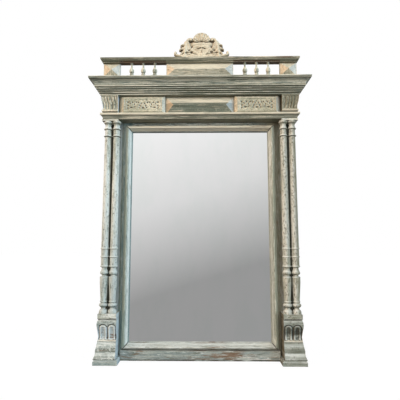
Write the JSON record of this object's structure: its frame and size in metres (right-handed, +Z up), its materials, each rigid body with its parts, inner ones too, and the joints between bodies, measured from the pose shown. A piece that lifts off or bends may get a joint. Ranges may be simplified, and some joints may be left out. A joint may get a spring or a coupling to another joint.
{
  "type": "overmantel mirror",
  "caption": "Tall wall mirror in a carved, painted wooden surround: paired turned colonettes on consoles, an entablature with a reeded cornice, a baluster gallery and a shell crest.",
  "frame": {"origin": "on the floor, under the middle of the bounding box", "axes": "+Z up, +X to the right as seen from the front, +Y towards the wall behind; the glass faces -Y"},
  "size_m": [1.168, 0.154, 1.75],
  "materials": {
    "case_paint": "matte",
    "moulding_paint": "matte",
    "turned_paint": "matte",
    "carved_paint": "matte",
    "crest_paint": "matte",
    "bare_wood": "matte",
    "mirror": "polished",
    "steel": "satin",
    "iron_nails": "matte"
  },
  "bodies": {
    "root": {"architrave": "moulding_paint", "backboard_1": "bare_wood", "backboard_2": "bare_wood", "backboard_3": "bare_wood", "backboard_nails": "iron_nails", "base_board": "case_paint", "bottom_glass_moulding": "moulding_paint", "bottom_rail": "case_paint", "centre_frieze_panel": "case_paint", "cornice_bed_front": "moulding_paint", "cornice_crown_front": "moulding_paint", "cornice_deck": "moulding_paint", "crest": "crest_paint", "frieze_board": "case_paint", "gallery_centre_block": "case_paint", "gallery_rail": "moulding_paint", "glass_wedges": "bare_wood", "left_abacus": "case_paint", "left_baluster_1": "turned_paint", "left_baluster_2": "turned_paint", "left_baluster_3": "turned_paint", "left_carved_frieze_panel": "carved_paint", "left_console": "carved_paint", "left_console_block": "carved_paint", "left_cornice_bed_return": "moulding_paint", "left_cornice_crown_return": "moulding_paint", "left_frieze_corbel": "carved_paint", "left_gallery_end_block": "case_paint", "left_glass_moulding": "moulding_paint", "left_inner_colonette": "turned_paint", "left_outer_colonette": "turned_paint", "left_plinth": "case_paint", "left_stile": "case_paint", "mirror_glass": "mirror", "right_abacus": "case_paint", "right_baluster_1": "turned_paint", "right_baluster_2": "turned_paint", "right_baluster_3": "turned_paint", "right_carved_frieze_panel": "carved_paint", "right_console": "carved_paint", "right_console_block": "carved_paint", "right_cornice_bed_return": "moulding_paint", "right_cornice_crown_return": "moulding_paint", "right_frieze_corbel": "carved_paint", "right_gallery_end_block": "case_paint", "right_glass_moulding": "moulding_paint", "right_inner_colonette": "turned_paint", "right_outer_colonette": "turned_paint", "right_plinth": "case_paint", "right_stile": "case_paint", "top_glass_moulding": "moulding_paint", "top_rail": "case_paint", "wall_plate_left": "steel", "wall_plate_right": "steel", "wall_plate_screws": "steel"}
  },
  "joints": []
}
